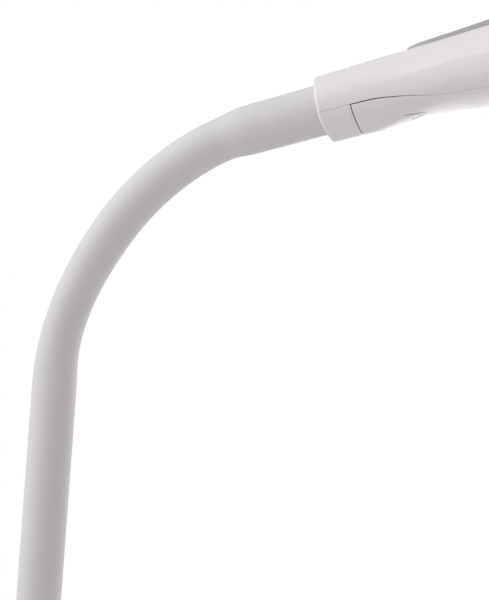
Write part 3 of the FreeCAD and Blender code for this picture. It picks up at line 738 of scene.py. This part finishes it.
def make_throat():
    """The cover under the head, let into the housing along the curved seam, whose gap narrows away."""
    wide, narrow = 0.5, 0.32
    narrowing_start, narrowing_length = 32, 30
    collar_gap, end_gap = 0.15, 1.5

    def arounds(distance):
        gap = wide + (narrow - wide) * ease((distance - narrowing_start) / narrowing_length)
        return spread(-1.0, -share_beyond(distance, share_at(distance, border_height(distance)), gap), 18)

    rows = level_rows(CLAMP_END + collar_gap, SEAM_END - end_gap, SEAM_SPACING)
    throat = shell_piece("throat_shell", rows, arounds)
    apply_modifiers(throat, FINE_SHARP_ANGLE)
    for side in (-1, 1):
        cut_away(throat, plan_tool("latch_slit", latch_slit(side), -25, -8))
    round_edges(throat, 0.15 * MM)
    finish_piece(throat, "head_plastic", "head", ["throat_cover"])


def latch_slit(side):
    """One of the cover's two slanting latch slits, seen from above: a slender leaf, pointed at both ends."""
    start, end = Vector((38.9, 6.6 * side)), Vector((50.4, 0.9 * side))
    along = end - start
    across = Vector((-along.y, along.x)).normalized() * LATCH_WIDTH / 2
    bluntness = 0.7
    near, far = [], []
    for share in spread(0.0, 1.0, 12):
        half_width = across * math.sin(math.pi * share) ** bluntness
        near.append(start + along * share + half_width)
        far.append(start + along * share - half_width)
    return near + far[-2:0:-1]


def make_light_cover():
    """The frosted cover over the light unit."""
    gap = 0.35

    def arounds(distance):
        return spread(-1.0, -share_at(distance, border_height(distance) - gap), 20)

    cover = shell_piece("light_cover", level_rows(LIGHT_START + gap, LIGHT_END - gap), arounds)
    round_edges(cover, 0.3 * MM)
    finish_piece(cover, "frosted_cover", "head", ["diffuser"])


# ---------------------------------------------------------------- top panel, in millimetres
# (distance, half-width) along the panel's sides and (distance, height) along its middle
PANEL_WIDTHS = ((53.5, 5.6), (63.5, 7.9), (73, 9.4), (86, 10.9), (117, 12.4), (272, 12.4))
PANEL_TOPS = ((46, 18.1), (54, 18.0), (62, 17.6), (72, 17.3), (90, 17.4), (150, 17.3),
              (225, 15.7), (272, 12.3))
PANEL_START, PANEL_END = 46.6, 272
PANEL_NOSE, PANEL_TAIL = 6.9, 10.0
PANEL_BOTTOM = 9.0


def panel_half_width(distance):
    """The top panel's half-width: a rounded nose, then nearly straight sides and a rounded tail."""
    if distance < PANEL_WIDTHS[0][0]:
        share = (distance - PANEL_START) / PANEL_NOSE
        return PANEL_WIDTHS[0][1] * math.sqrt(max(0.0, share * (1.6 - 0.6 * share)))
    width = smooth_through(PANEL_WIDTHS, distance, 1)
    if distance > PANEL_END - PANEL_TAIL:
        share = (distance - PANEL_END + PANEL_TAIL) / PANEL_TAIL
        width *= math.sqrt(max(0.0, 1 - share ** 2))
    return width


def panel_row(distance):
    """The panel's outline at a distance, as (across, up): sides, rounded edges and a faint crown."""
    fillet, fillet_steps = 0.9, 5
    crown, end_drop = 0.25, 0.6
    nose_ease, tail_ease = 1.2, 2.2
    half = max(0.15, panel_half_width(distance))
    inset = min(fillet, half * 0.8)
    full_height = ease((distance - PANEL_START) / nose_ease) * ease((PANEL_END - distance) / tail_ease)
    top = smooth_through(PANEL_TOPS, distance, 1) - (1 - full_height) * end_drop
    line = [(half, PANEL_BOTTOM), (half, top - inset)]
    for angle in spread(0, math.pi / 2, fillet_steps)[1:]:
        line.append((half - inset + inset * math.cos(angle), top - inset + inset * math.sin(angle)))
    for share in (0.75, 0.5, 0.25, 0.0):
        line.append(((half - inset) * share, top + crown * (1 - share ** 2)))
    return [(-across, up) for across, up in line] + [(across, up) for across, up in reversed(line[:-1])]


def make_panel():
    """The grey panel let into the head's top, with rounded edges and two round holes."""
    place = head_matrix()
    quarter = spread(0, math.pi / 2, 10)[1:]
    tail_start = PANEL_END - PANEL_TAIL
    distances = [PANEL_START + PANEL_NOSE * (1 - math.cos(angle)) for angle in quarter]
    distances += spread(PANEL_START + 9, tail_start, 120)
    distances += [tail_start + (PANEL_TAIL - 0.01) * math.sin(angle) for angle in quarter]
    points, faces = [], []
    for distance in distances:
        points += [place @ Vector((distance, across, up)) for across, up in panel_row(distance)]
    rows = len(distances)
    width = len(points) // rows
    for row in range(rows - 1):
        faces += ring_faces(row * width, (row + 1) * width, width)
    faces.append(tuple(range(width)))
    faces.append(tuple(reversed(range((rows - 1) * width, rows * width))))
    panel = new_piece("top_panel_skin", points, faces)
    close_up(panel)
    for name in ("power_button", "dimmer_button"):
        cut_away(panel, button_hole(name))
    round_edges(panel, 0.12 * MM, angle=60)
    finish_piece(panel, "panel_grey", "head", ["top_panel"])


# ---------------------------------------------------------------- buttons and springs
def button_centre(name):
    """How far a button's axis is from the mouth, in millimetres along the head."""
    low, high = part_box(name)
    return (head_matrix().inverted() @ ((low + high) / 2)).x


def button_place(name):
    """From a turned piece's own metres to the frame's, with the piece's axis on a button's axis."""
    return head_matrix() @ Matrix.Translation((button_centre(name), 0, 0)) @ Matrix.Scale(1 / MM, 4)


def button_hole(name):
    """A closed cylinder round a button, a little wider than it."""
    radius, height = 6.35, 40
    corners = [(0, 0, 0), (radius, 0, 0), (radius, height, 0), (0, height, 0)]
    return lathe(f"{name}_hole", corners, button_place(name), segments=64)


def make_buttons():
    """Two round buttons with a flange, dished tops and a soft edge."""
    radius, depth = 6.0, 6.4
    flange_radius, flange_height, flange_fillet = 7.3, 1.4, 0.2
    rim_radius, rim_drop, dish_depth = 4.2, 0.1, 0.75
    for name in ("power_button", "dimmer_button"):
        vertices = frame["nodes"][name].data.vertices
        top = max((head_matrix().inverted() @ vertex.co).z for vertex in vertices)
        low = top - depth
        flange_top = low + flange_height
        corners = [(0, low, 0), (flange_radius, low, flange_fillet),
                   (flange_radius, flange_top, flange_fillet), (radius, flange_top, 0),
                   (radius, top, 0.9), (rim_radius, top - rim_drop, 0.6), (0, top - dish_depth, 0)]
        button = lathe(f"{name}_cap", corners, button_place(name), segments=96)
        finish_piece(button, "button_plastic", name, [name])


def coil_piece(name, place, middle, low, high, radius, wire):
    """A closed coil of wire between two heights, with its end turns wound nearly level."""
    turns, steps, around = 5, 28, 10
    count = turns * steps
    points, faces = [], []
    for share in spread(0.0, 1.0, count):
        angle = 2 * math.pi * turns * share
        rise = low + wire + (high - low - 2 * wire) * ease(share * 1.08 - 0.04)
        outward = Vector((math.cos(angle), math.sin(angle), 0))
        for turn in range(around):
            lean = 2 * math.pi * turn / around
            spot = Vector((middle, 0, rise)) + outward * (radius + wire * math.cos(lean))
            points.append(place @ (spot + Vector((0, 0, wire * math.sin(lean)))))
    for row in range(count):
        faces += ring_faces(row * around, (row + 1) * around, around)
    faces.append(tuple(range(around)))
    faces.append(tuple(reversed(range(count * around, (count + 1) * around))))
    piece = new_piece(name, points, faces)
    close_up(piece)
    return piece


def make_springs():
    """The wound return springs under the buttons, carried by the head."""
    place = head_matrix()
    wire = 0.35
    for button in ("power", "dimmer"):
        node = f"{button}_spring"
        local = [place.inverted() @ vertex.co for vertex in frame["nodes"][node].data.vertices]
        low, high = min(point.z for point in local), max(point.z for point in local)
        middle = button_centre(f"{button}_button")
        radius = max(abs(point.y) for point in local) - wire
        spring = coil_piece(f"{button}_spring_coil", place, middle, low, high, radius, wire)
        finish_piece(spring, "bright_steel", "head", [node])
        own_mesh(spring)


# ---------------------------------------------------------------- stand
def round_size(box):
    """The lowest height, highest height and radius of a round node, in millimetres, from its box."""
    low, high = box
    return low.z / MM, high.z / MM, high.x / MM


def make_stand():
    """The pole's sections, the ring under the sleeve, the trim collar and the base cover."""
    for name in ("lower_pole", "middle_pole", "upper_pole"):
        make_pole_section(name)
    make_neck_ring()
    make_collar_trim()
    make_cover()


def make_pole_section(name):
    """A tube with rounded rims, a hair shorter than its node so that each joint shows as a fine line."""
    wall, shortened, rim = 1.5, 0.1, 0.5
    low, high, outside = round_size(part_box(name))
    low, high = low + shortened, high - shortened
    inside = outside - wall
    corners = [(inside, low, 0), (outside, low, rim), (outside, high, rim),
               (inside, high, 0), (inside, low, 0)]
    finish_piece(lathe(f"{name}_tube", corners), "stand_paint", "stand", [name])


def make_neck_ring():
    """The bush in the pole's top, with its visible ring."""
    bore, body_radius, ring_height = 6.1, 10.9, 4
    low, top, outside = round_size(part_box("neck_socket"))
    shelf = top - ring_height
    corners = [(bore, low, 0), (body_radius, low, 0.5), (body_radius, shelf, 0), (outside, shelf, 0.4),
               (outside, top, 0.6), (bore, top, 0), (bore, low, 0)]
    finish_piece(lathe("neck_ring", corners), "ring_plastic", "stand", ["neck_socket"])


def make_collar_trim():
    """The trim collar at the pole's foot: a low step, then a hollow flank up to a rounded lip."""
    bore, flank_radius, lip_radius = 12.7, 16.2, 14.6
    foot, top, wide = round_size(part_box("base_collar"))
    corners = [(bore, foot, 0), (wide, foot, 0.4), (wide, foot + 3, 1.2), (flank_radius, foot + 8.5, 8),
               (lip_radius, top, 0.7), (bore, top, 0.3), (bore, foot, 0)]
    finish_piece(lathe("collar_trim", corners), "stand_paint", "stand", ["base_collar"])


def cover_outline(foot, top, wide):
    """The domed cover's closed outline: upright side, rounded shoulder, dome and the wall's inside."""
    dome_radius, flat_radius, pole_hole = 560.0, 23.0, 6.2
    side_height, wall, shoulder = 19.0, 2, 4
    dome_start = wide - shoulder
    reach = dome_start - flat_radius
    dome = []
    for share in spread(0.0, 1.0, 28):
        chord = side_height + (top - side_height) * share
        sag = reach ** 2 / (8 * dome_radius) * 4 * share * (1 - share)
        dome.append((dome_start - reach * share, chord + sag, 0))
    round_in, round_up = 4.6, 4.4
    outline = [(wide - wall, foot, 0), (wide, foot, 0.5)]
    for angle in spread(0, math.pi / 2 * 0.86, 6):
        across = wide - round_in + round_in * math.cos(angle)
        outline.append((across, side_height - round_up + round_up * math.sin(angle) * 1.02, 0))
    outline += dome[1:]
    outline += [(pole_hole, top, 0), (pole_hole, top - wall, 0), (flat_radius, top - wall, 0),
                (wide - wall, side_height - shoulder, 0), (wide - wall, foot, 0)]
    return outline


def make_cover():
    """The domed base cover with a hole for the socket."""
    foot, top, wide = round_size(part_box("base_cover"))
    cover = lathe("cover_dome", cover_outline(foot, top, wide), segments=192)
    jack_low, jack_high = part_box("power_jack")
    jack_gap, hole_length, outside_reach = 0.3, 12, 4
    radius = (jack_high.z - jack_low.z) / 2 / MM + jack_gap
    start = Vector((-(wide + outside_reach) * MM, 0, (jack_low.z + jack_high.z) / 2))
    place = Matrix.Translation(start) @ Matrix.Rotation(math.pi / 2, 4, "Y")
    corners = [(0, 0, 0), (radius, 0, 0), (radius, hole_length, 0), (0, hole_length, 0)]
    cut_away(cover, lathe("jack_hole", corners, place, segments=64))
    round_edges(cover, 0.2 * MM, angle=60)
    finish_piece(cover, "cover_plastic", "stand", ["base_cover"])


# ---------------------------------------------------------------- light, floor and background
def make_floor():
    """A plain pale floor disc, just under the lamp's foot."""
    radius, around, height = 2.2, 96, -0.0002
    points = []
    for turn in range(around):
        angle = 2 * math.pi * turn / around
        points.append(Vector((radius * math.cos(angle), radius * math.sin(angle), height)))
    floor = new_piece("floor", points, [tuple(range(around))])
    floor.data.materials.append(material("pale_floor", (0.80, 0.80, 0.80), 0.7))


def area_light(name, place, target, size, power, colour=(1, 1, 1)):
    """A square soft light aimed at a point."""
    data = bpy.data.lights.new(name, "AREA")
    data.shape = "SQUARE"
    data.size = size
    data.energy = power
    data.color = colour
    light = bpy.data.objects.new(name, data)
    light.location = place
    light.rotation_euler = (Vector(target) - Vector(place)).to_track_quat("-Z", "Y").to_euler()
    bpy.context.scene.collection.objects.link(light)


def make_world():
    """A background that the camera sees as white, and that lights the lamp dimmer and faintly pink."""
    world = bpy.data.worlds.new("studio")
    world.use_nodes = True
    bpy.context.scene.world = world
    nodes, links = world.node_tree.nodes, world.node_tree.links
    path = nodes.new("ShaderNodeLightPath")
    seen, lit = nodes["Background"], nodes.new("ShaderNodeBackground")
    seen.inputs["Color"].default_value = (1, 1, 1, 1)
    seen.inputs["Strength"].default_value = 1.0
    lit.inputs["Color"].default_value = (1, 0.94, 0.94, 1)
    lit.inputs["Strength"].default_value = 0.59
    mix = nodes.new("ShaderNodeMixShader")
    links.new(path.outputs["Is Camera Ray"], mix.inputs["Fac"])
    links.new(lit.outputs["Background"], mix.inputs[1])
    links.new(seen.outputs["Background"], mix.inputs[2])
    links.new(mix.outputs["Shader"], nodes["World Output"].inputs["Surface"])


def make_lights():
    """A large, faintly cool key light from the upper left, a low one from the left and a rim light."""
    target = (BEND_SPOTS[3].x, 0, BEND_SPOTS[3].z)
    area_light("key", (-1.6, -1.0, 2.6), target, size=1.8, power=30, colour=(0.93, 0.98, 1.0))
    area_light("left", (-2.0, -1.2, 0.9), target, size=1.4, power=5)
    area_light("rim", (0.6, 1.6, 1.33), target, size=1.0, power=9)
    view = bpy.context.scene.view_settings
    view.view_transform = "Standard"
    view.look = "None"


# ---------------------------------------------------------------- make everything
make_camera()
FINISHES = make_materials()
NECK_ARCS = neck_arcs()
NECK_LENGTH = sum(arc[3] for arc in NECK_ARCS)
finish_cad_nodes()
make_sleeve()
make_housing()
make_clamp()
make_throat()
make_light_cover()
make_panel()
make_buttons()
make_springs()
make_stand()
make_floor()
make_world()
make_lights()
